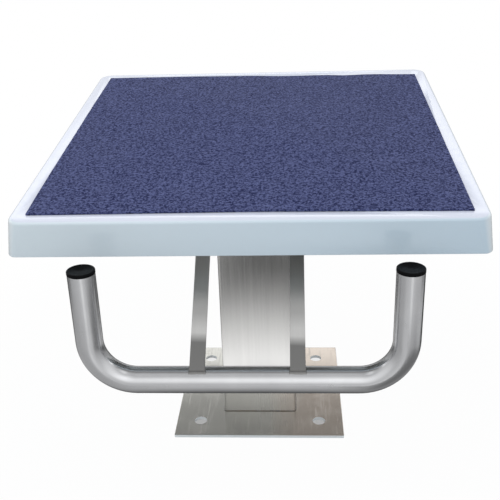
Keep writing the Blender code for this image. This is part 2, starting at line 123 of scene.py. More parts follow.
# Welds
BEAD_SIDES = 10
BEAD_RIPPLE = 0.0016
BEAD_SCALLOP = (1.0, 0.97, 0.90, 0.82)
BEAD_WANDER = 0.12
BEAD_WANDERS_PER_METRE = 180
BEAD_END = 0.45
BEAD_TAPER = 0.25
BEAD_START = Vector((0.31, 0.52, 0.79))
FOOT_BEAD = 0.0011
FOOT_BEAD_LIFT = 0.0002
HEAD_BEAD = 0.0016
HEAD_BEAD_DROP = 0.0006
RAIL_BEAD = 0.0013
RAIL_BEAD_CORNER = 0.0009
GROUND_TOE = 0.0008
GROUND_WANDER = 0.8
GROUND_WANDERS_PER_METRE = 240
GROUND_LIFT = 0.0004
GROUND_OVERLAP = 0.003
GROUND_ROOT = 0.0006
GROUND_STATIONS = 24
GROUND_STEPS = 16
GROUND_FLANKS = ((0.0, 1.0), (0.0006, 0.85), (0.0011, 0.5), (0.0014, 0.05))

# Fasteners
THREAD_RADIUS = {"head_bolt": 0.005, "strap_bolt": 0.004, "tray_screw": 0.003}
THREAD_CHAMFER = 0.0006
HEXAGON_FLATS = {"head_bolt": 0.016, "strap_bolt": 0.013}
HEXAGON_HEIGHT = {"head_bolt": 0.0064, "strap_bolt": 0.0053}
HEXAGON_CHAMFER = 0.0016
HEXAGON_CORNER = 1.16
HEXAGON_TOP = 0.98
HEXAGON_CENTRE = 0.90
HEXAGON_FACE = 0.96
WASHER_FACE = 0.0003
WASHER_BORE = {"head_washer": 0.0053, "strap_washer": 0.0043}
WASHER_EDGE = 0.0001

# Platform directions, from the mount on the mat's top, and the middle of the tray's top surface
across = Vector((1, 0, 0))
top_mount = next(mount for mount in frame["record"]["mounts"] if mount["name"] == "platform_top")
normal = Vector(top_mount["axis"]).normalized()
uphill = Vector((0.0, normal.z, -normal.y))
tray_origin = Vector((0.0, 0.008, 0.462))

# Lower centre line of the grip, and half the distance between those of its arms
grip_low, grip_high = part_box("hand_grip")
grip_y = (grip_low.y + grip_high.y) / 2
grip_z = grip_low.z + PIPE_RADIUS
grip_half = (grip_high.x - grip_low.x) / 2 - PIPE_RADIUS


def platform_point(x, v, w):
    return tray_origin + Vector((x, 0, 0)) + uphill * v + normal * w


def height_on(w, y):
    """Height, at y, of the plane that lies at w along the platform's normal."""
    return tray_origin.z + (w - (y - tray_origin.y) * normal.y) / normal.z


def span(node, direction, origin=Vector((0, 0, 0))):
    """Lowest and highest reach of a solid along a direction."""
    reach = [(vert.co - origin).dot(direction) for vert in nodes[node].data.vertices]
    return min(reach), max(reach)


def reaches(node):
    """Reach of a solid across, up the slope and along the platform's normal."""
    return span(node, across), span(node, uphill, tray_origin), span(node, normal, tray_origin)


def middle(node):
    """Middle of a solid across and up the slope."""
    return [sum(reach) / 2 for reach in reaches(node)[:2]]


def numbered(label):
    """Nodes of one kind, in the order of their numbers."""
    return sorted(node for node in nodes if node.startswith(label))


# Materials

BRIGHT_STEEL = (0.74, 0.736, 0.725)
RAIL_STEEL = (0.60, 0.595, 0.58)
BRUSH_DEPTH = 0.00002
# Painted shade: height spans of the post's darker foot, and of the straps' darker feet, darker middle band
# and the right strap's darker top
POST_FOOT_SHADE = (0.004, 0.040)
STRAP_FOOT_SHADE = (0.281, 0.289)
STRAP_FOOT_SHADE_TILT = 0.024
STRAP_SHADE_BAND = (0.294, 0.307, 0.321, 0.337)
RIGHT_STRAP_SHADE = (0.306, 0.388)


def shaded(colour, share):
    return tuple(min(1.0, part * share) for part in colour)


class Graph:
    """Short calls for the nodes of a shader tree."""

    def __init__(self, tree):
        self.tree = tree

    def add(self, kind, **properties):
        node = self.tree.nodes.new("ShaderNode" + kind)
        for key, value in properties.items():
            setattr(node, key, value)
        return node

    def fill(self, socket, value):
        """Link a socket to an output, or set it to a value."""
        if isinstance(value, bpy.types.NodeSocket):
            self.tree.links.new(value, socket)
        else:
            socket.default_value = value

    def feed(self, node, *values):
        """Fill a node's first sockets, and return its first output."""
        for socket, value in zip(node.inputs, values):
            self.fill(socket, value)
        return node.outputs[0]

    def math(self, operation, *values):
        return self.feed(self.add("Math", operation=operation), *values)

    def sum(self, first, second):
        return self.math("ADD", first, second)

    def times(self, first, second):
        return self.math("MULTIPLY", first, second)

    def product(self, *factors):
        return reduce(self.times, factors)

    def vector(self, operation, *values):
        return self.feed(self.add("VectorMath", operation=operation), *values)

    def axes(self, vector):
        """x, y and z of a vector."""
        node = self.add("SeparateXYZ")
        self.feed(node, vector)
        return node.outputs

    def span(self, value, low, high, to_low=0.0, to_high=1.0, easing="LINEAR"):
        """The value's range from low to high, stretched to another range and clamped."""
        node = self.add("MapRange", interpolation_type=easing)
        return self.feed(node, value, low, high, to_low, to_high)

    def smooth(self, value, *limits):
        """The same range, eased at both ends."""
        return self.span(value, *limits, easing="SMOOTHSTEP")

    def mix(self, factor, first, second):
        """Colour between two colours or links."""
        node = self.add("Mix", data_type="RGBA")
        self.fill(node.inputs["Factor"], factor)
        for name, value in (("A", first), ("B", second)):
            self.fill(node.inputs[name], (*value, 1.0) if isinstance(value, tuple) else value)
        return node.outputs["Result"]


class Paint(Graph):
    """A Principled material and the nodes that feed it."""

    def __init__(self, name, colour, roughness, metallic=0.0, **settings):
        self.material = bpy.data.materials.new(name)
        self.material.use_nodes = True
        super().__init__(self.material.node_tree)
        self.shader = self.tree.nodes["Principled BSDF"]
        settings.update(Base_Color=(*colour, 1.0), Roughness=roughness, Metallic=metallic)
        for socket, value in settings.items():
            self.shader.inputs[socket.replace("_", " ")].default_value = value
        self.material.diffuse_color = (*colour, 1.0)
        self.texture = self.add("TexCoord").outputs
        self.place = self.texture["Object"]

    def texture_at(self, kind, stretch, **settings):
        """Texture over the object's coordinates, stretched along x, y and z."""
        mapping = self.add("Mapping")
        self.fill(mapping.inputs["Scale"], stretch)
        node = self.add(kind)
        self.feed(node, self.feed(mapping, self.place))
        for socket, value in settings.items():
            node.inputs[socket].default_value = value
        return node.outputs

    def noise(self, scale, detail=3.0, rough=0.5, stretch=(1, 1, 1), distortion=0.0):
        settings = {"Scale": scale, "Detail": detail, "Roughness": rough, "Distortion": distortion}
        return self.texture_at("TexNoise", stretch, **settings)["Fac"]

    def lines(self, stretch, detail=2.0, rough=0.6, distortion=0.0):
        """Noise drawn out to lines along the axis with the smallest stretch."""
        return self.noise(1.0, detail, rough, stretch, distortion)

    def brushed_along(self, direction):
        """Stretch reflections across the brush lines, and run texture coordinates along z with them."""
        tangent = self.vector("CROSS_PRODUCT", self.texture["Normal"], direction)
        self.fill(self.shader.inputs["Tangent"], tangent)
        turn = self.add("VectorRotate", rotation_type="EULER_XYZ")
        turn.inputs["Rotation"].default_value = direction.rotation_difference(Vector((0, 0, 1))).to_euler()
        self.place = self.feed(turn, self.place)

    def finished(self, colour, roughness, relief, depth):
        """The material, with its colour, its roughness and its relief linked."""
        self.fill(self.shader.inputs["Base Color"], colour)
        self.fill(self.shader.inputs["Roughness"], roughness)
        bump = self.add("Bump")
        bump.inputs["Distance"].default_value = depth
        self.fill(bump.inputs["Height"], relief)
        self.fill(self.shader.inputs["Normal"], bump.outputs["Normal"])
        return self.material


def post_painted_shade(paint, place):
    """Mask of the post's painted shade, darker towards its foot, and the share of the colour that it keeps.
    """
    # Painted shade: the post's colour darker towards its foot
    return [(paint.span(place["Z"], *POST_FOOT_SHADE, 1.0, 0.0), 0.78)]


def strap_painted_shade(paint, place):
    """The same for the painted shade on the straps: their darker feet, the right one's darker top, and a
    darker band between.
    """
    # Painted shade: the straps darker at their feet, in a band up the middle, and the right one darker at its
    # top
    x, z = place["X"], place["Z"]
    foot = paint.span(paint.sum(z, paint.times(x, STRAP_FOOT_SHADE_TILT)), *STRAP_FOOT_SHADE, 1.0, 0.0)
    on_right = paint.span(x, -0.01, 0.01)
    right_top_shade = paint.times(on_right, paint.span(z, *RIGHT_STRAP_SHADE))
    start, full, fading, end = STRAP_SHADE_BAND
    band = paint.times(paint.span(z, start, full), paint.span(z, end, fading))
    return [(foot, 0.34), (right_top_shade, 0.45), (band, 0.72)]


def brushed_steel(name, along, colour, roughness=0.30, streak=0.7, painted_shading=lambda paint, place: []):
    """Brushed stainless steel; its brush lines run along a direction, and painted shade darkens parts of it.
    """
    paint = Paint(name, colour, roughness, metallic=1.0, Anisotropic=streak)
    place = paint.axes(paint.place)
    paint.brushed_along(along)
    lines = paint.lines((620.0, 620.0, 9.0))
    bands = paint.lines((90.0, 90.0, 2.0), rough=0.5)
    clouds = paint.noise(7.0, detail=2.0)
    tone = paint.sum(paint.times(lines, 0.55), paint.times(bands, 0.45))
    base = paint.mix(paint.span(tone, 0.3, 0.7), shaded(colour, 0.95), shaded(colour, 1.04))
    # Each painted shade mask darkens the colour to its share
    for mask, share in painted_shading(paint, place):
        base = paint.mix(mask, base, shaded(colour, share))
    rough = paint.span(paint.sum(lines, clouds), 0.6, 1.4, roughness - 0.04, roughness + 0.04)
    return paint.finished(base, rough, lines, BRUSH_DEPTH)


def plate_steel(name):
    """Cold-rolled plate: dull mirror, a painted reflection that turns it beige on the right, water marks and
    fine scratches.
    """
    paint = Paint(name, (0.58, 0.57, 0.55), 0.2, metallic=1.0)
    clouds = paint.noise(5.5, rough=0.6, distortion=0.4)
    side = paint.sum(paint.axes(paint.place)["X"], paint.times(clouds, 0.10))
    marks = paint.span(paint.noise(26.0, detail=5.0, rough=0.65), 0.50, 0.72)
    scratches = paint.span(paint.lines((520.0, 14.0, 60.0), detail=1.0, rough=0.5), 0.60, 0.75)
    # Painted reflection: the colour turns beige over the plate's right side
    base = paint.mix(paint.span(side, 0.075, 0.125), (0.390, 0.388, 0.364), (0.400, 0.356, 0.315))
    base = paint.mix(paint.times(marks, 0.35), base, (0.315, 0.305, 0.286))
    base = paint.mix(paint.times(scratches, 0.25), base, (0.44, 0.43, 0.415))
    rough = paint.span(paint.sum(marks, scratches), 0.0, 1.2, 0.12, 0.22)
    return paint.finished(base, rough, paint.sum(scratches, paint.times(marks, 0.5)), 0.00002)


def pipe_steel(name):
    """Satin pipe, polished round and round, so its reflections stretch along the bent centre line."""
    paint = Paint(name, (0.62, 0.625, 0.635), 0.24, metallic=1.0, Anisotropic=0.6)
    x, _, z = paint.axes(paint.place)
    past_bend = paint.math("SUBTRACT", paint.math("ABSOLUTE", x), grip_half - PIPE_BEND)
    sideways = paint.times(paint.math("MAXIMUM", past_bend, 0.0), paint.math("SIGN", x))
    downwards = paint.math("MINIMUM", paint.math("SUBTRACT", z, grip_z + PIPE_BEND), 0.0)
    spoke = paint.feed(paint.add("CombineXYZ"), sideways, 0.0, downwards)
    paint.fill(paint.shader.inputs["Tangent"], paint.vector("CROSS_PRODUCT", spoke, (0.0, 1.0, 0.0)))
    polish = paint.lines((420.0, 420.0, 420.0))
    clouds = paint.noise(22.0)
    rubs = paint.span(paint.noise(60.0, detail=4.0, rough=0.7), 0.60, 0.74)
    base = paint.mix(paint.span(clouds, 0.3, 0.7), (0.59, 0.595, 0.610), (0.65, 0.655, 0.670))
    base = paint.mix(paint.times(rubs, 0.25), base, (0.54, 0.54, 0.54))
    return paint.finished(base, paint.span(paint.sum(polish, rubs), 0.3, 1.2, 0.20, 0.28), polish, 0.000002)


def gel_coat(name):
    """Glossy white gel coat with a faint wave and fine dust; painted light and shade give its top, front and
    sides their own tones.
    """
    paint = Paint(name, (0.800, 0.862, 0.900), 0.2, Coat_Weight=0.25, Coat_Roughness=0.08)
    wave = paint.noise(9.0, detail=2.0, rough=0.4)
    dust = paint.span(paint.noise(70.0, detail=6.0, rough=0.7), 0.52, 0.75)
    facing = paint.axes(paint.texture["Normal"])
    front = paint.span(paint.times(facing["Y"], -1.0), 0.35, 0.75)
    painted_front_shade = paint.times(front, paint.span(paint.axes(paint.place)["X"], -0.27, 0.28))
    top = paint.span(facing["Z"], 0.75, 0.98)
    sides = paint.span(paint.math("ABSOLUTE", facing["X"]), 0.35, 0.8)
    base = paint.mix(paint.span(wave, 0.3, 0.7), (0.790, 0.854, 0.892), (0.810, 0.872, 0.912))
    # Painted light and shade by facing: the front darker towards the right, the top faces cooler and darker,
    # the side faces lighter
    base = paint.mix(painted_front_shade, base, (0.655, 0.762, 0.850))
    base = paint.mix(top, base, (0.772, 0.785, 0.880))
    base = paint.mix(sides, base, (0.93, 0.94, 0.95))
    base = paint.mix(paint.times(dust, 0.15), base, (0.72, 0.75, 0.79))
    return paint.finished(base, paint.span(dust, 0.0, 1.0, 0.17, 0.30), wave, 0.0006)


def laminate(name):
    """Unfinished inside of the tray: matted glass strands under resin."""
    paint = Paint(name, (0.66, 0.69, 0.68), 0.5)
    strands = paint.lines((60.0, 420.0, 420.0), rough=0.5, distortion=1.2)
    crossed = paint.lines((420.0, 60.0, 420.0), rough=0.5, distortion=1.2)
    both = paint.math("MAXIMUM", strands, crossed)
    base = paint.mix(paint.span(both, 0.45, 0.70), (0.58, 0.61, 0.60), (0.72, 0.74, 0.73))
    return paint.finished(base, paint.span(both, 0.4, 0.7, 0.62, 0.38), both, 0.0004)


def mat_rubber(name):
    """Dark blue anti-slip sheet: worm-like grains with open pits; the grains' speckle is painted lighter on
    their crests and the pits darker, as painted light and shade.
    """
    paint = Paint(name, (0.075, 0.085, 0.18), 0.88, Specular_IOR_Level=0.3)
    coarse = paint.noise(300.0, detail=1.5, rough=0.6, distortion=0.6)
    fine = paint.noise(900.0, detail=2.0, rough=0.6)
    pits = paint.texture_at("TexVoronoi", (1, 1, 1), Scale=330.0)["Distance"]
    patch = paint.noise(14.0, rough=0.6)
    specks = paint.span(paint.noise(620.0, detail=1.0), 0.64, 0.74, 0.0, 0.6)
    grain = paint.sum(paint.times(coarse, 0.80), paint.times(fine, 0.20))
    # Painted light on the relief: the grain colour is lighter on the crests, partly the rubber's own speckle
    base = paint.mix(paint.span(grain, 0.42, 0.58), (0.010, 0.014, 0.066), (0.100, 0.115, 0.256))
    base = paint.mix(paint.span(patch, 0.35, 0.70, 0.0, 0.12), base, (0.080, 0.088, 0.170))
    base = paint.mix(specks, base, (0.200, 0.225, 0.400))
    # Painted shade in the pits
    base = paint.mix(paint.span(pits, 0.08, 0.30, 0.32, 0.0), base, (0.010, 0.014, 0.055))
    relief = paint.sum(grain, paint.span(pits, 0.0, 0.4, 0.0, 0.6))
    return paint.finished(base, paint.span(grain, 0.3, 0.7, 0.95, 0.78), relief, 0.0009)


def cap_plastic(name):
    """Black plastic, nearly matt, with light scuffs."""
    paint = Paint(name, (0.005, 0.005, 0.005), 0.5, IOR=1.25, Specular_IOR_Level=0.2)
    grain = paint.noise(900.0)
    scuffs = paint.span(paint.noise(120.0, detail=4.0, rough=0.7), 0.58, 0.75)
    base = paint.mix(scuffs, (0.0035, 0.0035, 0.004), (0.010, 0.010, 0.011))
    return paint.finished(base, paint.span(grain, 0.3, 0.7, 0.38, 0.52), grain, 0.00005)


def weld_steel(name, shade=1.0):
    """Fillet weld with straw and blue heat tint; a shade below 1 darkens it all as painted shade."""
    paint = Paint(name, shaded((0.50, 0.47, 0.43), shade), 0.34, metallic=1.0)
    tint = paint.noise(85.0)
    bright, warm = shaded((0.56, 0.55, 0.53), shade), shaded((0.50, 0.42, 0.33), shade)
    straw = paint.mix(paint.span(tint, 0.35, 0.65), bright, warm)
    base = paint.mix(paint.span(paint.noise(40.0), 0.56, 0.70), straw, shaded((0.34, 0.36, 0.42), shade))
    return paint.finished(base, paint.span(tint, 0.3, 0.7, 0.26, 0.42), paint.noise(900.0), 0.00008)


def cut_steel(name, tone):
    """Pale, matt face of a cut or drilled edge, with the tool's fine lines round it."""
    colour = (tone, tone, tone * 0.99)
    paint = Paint(name, colour, 0.55)
    rings = paint.lines((30.0, 30.0, 2600.0), rough=0.5)
    base = paint.mix(paint.span(rings, 0.35, 0.65), shaded(colour, 0.95), shaded(colour, 1.05))
    return paint.finished(base, paint.span(rings, 0.3, 0.7, 0.5, 0.65), rings, 0.00004)


def fastener_steel(name):
    """Plain rolled and turned steel with a fine grain."""
    paint = Paint(name, (0.62, 0.62, 0.61), 0.28, metallic=1.0)
    grain = paint.noise(500.0, detail=4.0, rough=0.65)
    base = paint.mix(paint.span(grain, 0.35, 0.65), (0.56, 0.56, 0.55), (0.66, 0.66, 0.65))
    return paint.finished(base, paint.span(grain, 0.3, 0.7, 0.22, 0.38), grain, 0.00003)


# Mesh building


def circle(sides):
    """Cosine and sine pairs round a full turn."""
    angles = [2 * math.pi * i / sides for i in range(sides)]
    return [(math.cos(angle), math.sin(angle)) for angle in angles]


def hoop(centre, first, second, radius, sides):
    """Points of a circle in the plane of two directions."""
    return [centre + (first * cos + second * sin) * radius for cos, sin in circle(sides)]


def rounded_edge(size, steps):
    """Pairs along a quarter round: the first grows from 0 to the size, the second shrinks to 0."""
    angles = [math.pi / 2 * i / steps for i in range(steps + 1)]
    return [(size * (1 - math.cos(angle)), size * (1 - math.sin(angle))) for angle in angles]


def eased(share):
    return share * share * (3 - 2 * share)


def rounded_outline(half_x, half_y, radius, steps):
    """Counter-clockwise outline of a rounded rectangle, steps + 1 points for each corner."""
    points = []
    for turn, (side, end) in enumerate(((1, 1), (-1, 1), (-1, -1), (1, -1))):
        for step in range(steps + 1):
            angle = math.pi / 2 * (turn + step / steps)
            x = side * (half_x - radius) + radius * math.cos(angle)
            y = end * (half_y - radius) + radius * math.sin(angle)
            points.append((x, y))
    return points


def lathe(profile, x, y, sides, placed=platform_point):
    """Rings of a turned shape round x and y, from a profile's radius and level pairs."""
    rings = []
    for radius, level in profile:
        rings.append([placed(x + radius * cos, y + radius * sin, level) for cos, sin in circle(sides)])
    return rings


def loft(rings, closed=False):
    """Bmesh through rings of as many points each; ends are capped unless the rings close."""
    bm = bmesh.new()
    rows = [[bm.verts.new(point) for point in ring] for ring in rings]
    count = len(rows[0])
    pairs = list(zip(rows, rows[1:]))
    if closed:
        pairs.append((rows[-1], rows[0]))
    for lower, upper in pairs:
        for i in range(count):
            j = (i + 1) % count
            bm.faces.new((lower[i], lower[j], upper[j], upper[i]))
    if not closed:
        bm.faces.new(rows[0][::-1])
        bm.faces.new(rows[-1])
    bmesh.ops.recalc_face_normals(bm, faces=bm.faces)
    return bm


def bare(name, bm):
    """Object with a mesh and nothing else."""
    mesh = bpy.data.meshes.new(name)
    bm.to_mesh(mesh)
    bm.free()
    item = bpy.data.objects.new(name, mesh)
    bpy.context.scene.collection.objects.link(item)
    return item


def smoothed(item, sharp):
    """Shade an object smooth, but for edges sharper than an angle in degrees."""
    item.data.shade_smooth()
    item.data.set_sharp_from_angle(angle=math.radians(sharp))


def piece(name, bm, material, replaces=(), sharp=40):
    """A finished mesh that rides on the part and what it replaces."""
    item = bare(name, bm)
    item.data.materials.append(material)
    smoothed(item, sharp)
    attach(item, "root")
    if replaces:
        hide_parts(*replaces)
    return item


def cut(item, cutter):
    """Cut one mesh from another for good, and remove the cutter."""
    modifier = item.modifiers.new("cut", "BOOLEAN")
    modifier.operation = "DIFFERENCE"
    modifier.solver = "EXACT"
    modifier.object = cutter
    bpy.context.view_layer.update()
    evaluated = item.evaluated_get(bpy.context.evaluated_depsgraph_get())
    item.data = bpy.data.meshes.new_from_object(evaluated)
    item.modifiers.clear()
    bpy.data.objects.remove(cutter, do_unlink=True)


def round_bar(base, top, radius, sides=48):
    """Bare cylinder from one point to another, to cut holes with."""
    axis = (top - base).normalized()
    first = axis.orthogonal().normalized()
    return bare("bar", loft([hoop(end, first, axis.cross(first), radius, sides) for end in (base, top)]))


# Tray: top sheet, rounded edge, flared lip, rim and the inside, in one closed shell


def make_tray(outside, inside):
    (_, half_x), (_, half_v), (low, high) = reaches("platform_tray")
    lip = high - low

    def ring(w, inset):
        rise = 1 + w / lip
        draw = TRAY_FLARE * rise + inset
        corner = TRAY_LOWER_CORNER + (TRAY_UPPER_CORNER - TRAY_LOWER_CORNER) * rise - inset
        outline = rounded_outline(half_x - draw, half_v - draw, max(corner, TRAY_LEAST_CORNER), steps=10)
        return [platform_point(x, v, w) for x, v in outline]

    def is_inside(face):
        """Whether a face looks into the tray's hollow."""
        offset = face.center - tray_origin
        v = offset.dot(uphill)
        depth = TRAY_WALL - TRAY_INSIDE_MARGIN
        within = abs(offset.x) < half_x - depth and abs(v) < half_v - depth
        facing_in = face.normal.dot(across * offset.x + uphill * v) < 0
        facing_down = face.normal.dot(normal) < -0.2
        return within and (facing_in or facing_down) and offset.dot(normal) < -TRAY_WALL / 2

    wall, rim = TRAY_WALL, rounded_edge(TRAY_RIM_ROUND, 3)
    rings = [ring(-drop, inset) for drop, inset in rounded_edge(TRAY_EDGE_ROUND, 8)]
    rings += [ring(rise - lip, inset) for inset, rise in rim]
    rings += [ring(rise - lip, wall - inset) for inset, rise in reversed(rim)]
    rings += [ring(-wall - drop, wall + inset) for inset, drop in rounded_edge(wall, 5)]
    shell = piece("tray_shell", loft(rings), outside, ["platform_tray"], sharp=50)
    shell.data.materials.append(inside)
    for face in shell.data.polygons:
        if is_inside(face):
            face.material_index = 1
    for node in numbered("tray_screw"):
        cut(shell, screw_hole(*middle(node)))
    smoothed(shell, 50)


def screw_hole(x, v):
    """Countersunk shape to cut where a screw goes down through the top sheet."""
    profile = [(SCREW_HEAD_RADIUS, TRAY_WALL), (SCREW_HEAD_RADIUS, 0.0)]
    profile += [(SCREW_SHANK_RADIUS, -SCREW_HEAD_HEIGHT), (SCREW_SHANK_RADIUS, -2 * TRAY_WALL)]
    return bare("screw_hole", loft(lathe(profile, x, v, 32)))


# Mat: a cut sheet whose edges waver a little


# Places along each side of the mat, and how far inside the solid's edge the sheet was cut there
FRONT_CUT = [
    (-0.276, 0.0), (-0.180, 0.0010), (-0.105, 0.0021), (0.0, 0.0032),
    (0.080, 0.0026), (0.150, 0.0012), (0.276, 0.0),
]
REAR_CUT = [
    (-0.276, 0.0), (-0.150, 0.0), (-0.027, 0.0025), (0.045, 0.0080),
    (0.115, 0.0070), (0.153, 0.0105), (0.190, 0.0075), (0.276, 0.0115),
]
LEFT_CUT = [(-0.276, 0.0015), (-0.150, 0.0007), (0.080, 0.0010), (0.269, 0.0019)]
RIGHT_CUT = [(-0.276, 0.0), (0.060, 0.0002), (0.269, 0.0003)]


def cut_depth(stops, place):
    """Depth of a side's cut at a place, eased between the stops."""
    for (start, first), (end, second) in zip(stops, stops[1:]):
        if place <= end:
            return first + (second - first) * eased(max(0.0, (place - start) / (end - start)))
    return stops[-1][1]


def waver(x, v):
    """How far the knife strayed inwards."""
    place = Vector((x * MAT_WAVES_PER_METRE, v * MAT_WAVES_PER_METRE, MAT_NOISE_LEVEL))
    return MAT_WAVE * (MAT_WAVE_MIDDLE + noise.noise(place))


def make_mat(material):
    (x_low, x_high), (v_low, v_high), (w_low, w_high) = reaches("anti_slip_mat")
    w_high -= MAT_SINK
    centre_v = (v_low + v_high) / 2

    def placed(a, b):
        """Point of the outline at the shares a across and b along the mat."""
        x = x_low + (x_high - x_low) * a
        v = v_low + (v_high - v_low) * b
        left = x_low + cut_depth(LEFT_CUT, v) + waver(x_low, v)
        right = x_high - cut_depth(RIGHT_CUT, v) - waver(x_high, v)
        front = v_low + cut_depth(FRONT_CUT, x) + waver(x, v_low)
        rear = v_high - cut_depth(REAR_CUT, x) - waver(x, v_high)
        return left + (right - left) * a, front + (rear - front) * b

    shares = [i / MAT_STEPS for i in range(MAT_STEPS)]
    outline = [placed(a, 0.0) for a in shares] + [placed(1.0, b) for b in shares]
    outline += [placed(1.0 - a, 1.0) for a in shares] + [placed(0.0, 1.0 - b) for b in shares]

    def ring(inset, w):
        inwards = [(math.copysign(inset, x), math.copysign(inset, v - centre_v)) for x, v in outline]
        return [platform_point(x - a, v - b, w) for (x, v), (a, b) in zip(outline, inwards)]

    rings = [ring(0, w_low)]
    rings += [ring(inset, w_high - drop) for inset, drop in rounded_edge(MAT_EDGE, 3)]
    piece("mat_sheet", loft(rings), material, ["anti_slip_mat"])


# Hand grip


def grip_stations(steps=20):
    """Points and directions along the grip's centre line."""
    stations = [(Vector((-grip_half, grip_y, grip_high.z)), Vector((0, 0, -1)))]
    for side, start in ((-1, math.pi), (1, 1.5 * math.pi)):
        centre = Vector((side * (grip_half - PIPE_BEND), grip_y, grip_z + PIPE_BEND))
        for step in range(steps + 1):
            angle = start + math.pi / 2 * step / steps
            offset = Vector((math.cos(angle), 0, math.sin(angle)))
            stations.append((centre + offset * PIPE_BEND, Vector((-offset.z, 0, offset.x))))
    return stations + [(Vector((grip_half, grip_y, grip_high.z)), Vector((0, 0, 1)))]


def make_grip(material):
    depth = Vector((0, 1, 0))

    def ring(point, direction, radius):
        return hoop(point, depth, direction.cross(depth), radius, sides=72)

    stations = grip_stations()
    outer = [ring(point, direction, PIPE_RADIUS) for point, direction in stations]
    inner = [ring(point, direction, PIPE_RADIUS - PIPE_WALL) for point, direction in reversed(stations)]
    piece("grip_pipe", loft(outer + inner, closed=True), material, ["hand_grip"])


def make_caps(material):
    """Caps with a plug in the pipe, a raised rim, a dished top and the mould's gate in its middle."""
    plug = PIPE_RADIUS - PIPE_WALL - CAP_CLEARANCE
    for side in ("left", "right"):
        node = f"end_cap_{side}"
        low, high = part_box(node)
        centre = (low + high) / 2
        flange = (high.x - low.x) / 2
        rim = flange - CAP_ROUND - CAP_RIM
        bottom, seat, top = low.z, low.z + CAP_PLUG, high.z
        dish = top - CAP_DISH
        profile = [(CAP_CENTRE, bottom), (plug - CAP_CHAMFER, bottom), (plug, bottom + CAP_CHAMFER)]
        profile += [(plug, seat), (flange, seat)]
        profile += [(flange - inset, top - drop) for inset, drop in rounded_edge(CAP_ROUND, 5)]
        profile += [(rim + CAP_RIM_ROUND, top), (rim, top - CAP_RIM_ROUND / 3), (rim - CAP_DISH, dish)]
        profile += [(GATE_RADIUS, dish), (GATE_RADIUS - GATE_ROUND, dish - GATE_DEPTH)]
        profile.append((CAP_CENTRE, dish - GATE_DEPTH))
        rings = lathe(profile, centre.x, centre.y, 64, lambda *place: Vector(place))
        piece(f"cap_{side}", loft(rings), material, [node])


# Post, plates and rails


def make_post(material):
    low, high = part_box("post")
    top_w = span("head_plate", normal, tray_origin)[0] - POST_GAP

    def wall(inset, corner):
        """Lower and upper ring of the tube's outside or inside."""
        outline = rounded_outline(high.x - inset, high.y - inset, corner, steps=8)
        bottom = [Vector((x, y, low.z)) for x, y in outline]
        return [bottom, [Vector((x, y, height_on(top_w, y))) for x, y in outline]]

    rings = wall(0, POST_CORNER) + wall(POST_WALL, POST_INNER_CORNER)[::-1]
    piece("post_tube", loft(rings, closed=True), material, ["post"])


def make_base_plate(material, hole_material, edge_material):
    low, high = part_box("base_plate")

    def ring(inset, z):
        outline = rounded_outline(high.x - inset, high.y - inset, PLATE_CORNER, steps=4)
        return [Vector((x, y, z)) for x, y in outline]

    rings = [ring(0, low.z)]
    rings += [ring(inset, high.z - drop) for inset, drop in rounded_edge(PLATE_EDGE, 3)]
    rings.append(ring(PLATE_FLAT, high.z))
    plate = piece("foot_plate", loft(rings), material, ["base_plate"], sharp=30)
    centres = [Vector((x, y, 0)) * (ANCHOR_PITCH / 2) for x in (-1, 1) for y in (-1, 1)]
    depth = Vector((0, 0, 0.02))
    for centre in centres:
        cut(plate, round_bar(centre - depth, centre + depth, ANCHOR_HOLE_RADIUS))
    plate.data.materials.append(hole_material)
    plate.data.materials.append(edge_material)
    for face in plate.data.polygons:
        if abs(face.normal.z) < 0.1:
            nearest = min((face.center - centre).xy.length for centre in centres)
            face.material_index = 1 if nearest < ANCHOR_HOLE_RADIUS + HOLE_CLEARANCE else 2
    smoothed(plate, 30)


def drill(item, label, limits, w, depth):
    """Clearance holes round the layer w, for a kind of fastener inside some limits in x and v."""
    (x_low, x_high), (v_low, v_high) = limits
    for node in numbered(label):
        x, v = middle(node)
        if x_low < x < x_high and v_low < v < v_high:
            ends = [platform_point(x, v, level) for level in (w - depth / 2, w + depth / 2)]
            cut(item, round_bar(*ends, THREAD_RADIUS[label] + HOLE_CLEARANCE, sides=32))


def make_head_plate(material):
    x_reach, v_reach, (w_low, w_high) = reaches("head_plate")
    centre_v = sum(v_reach) / 2

    def ring(inset, w):
        half_v = v_reach[1] - centre_v
        outline = rounded_outline(x_reach[1] - inset, half_v - inset, HEAD_CORNER - inset, steps=8)
        return [platform_point(x, centre_v + v, w) for x, v in outline]

    edge = rounded_edge(PLATE_EDGE, 3)
    rings = [ring(PLATE_FLAT, w_low)] + [ring(inset, w_low + rise) for inset, rise in reversed(edge)]
    rings += [ring(inset, w_high - drop) for inset, drop in edge] + [ring(PLATE_FLAT, w_high)]
    plate = piece("head_flange", loft(rings), material, ["head_plate"])
    drill(plate, "head_bolt", (x_reach, v_reach), (w_low + w_high) / 2, depth=0.02)
    smoothed(plate, 40)


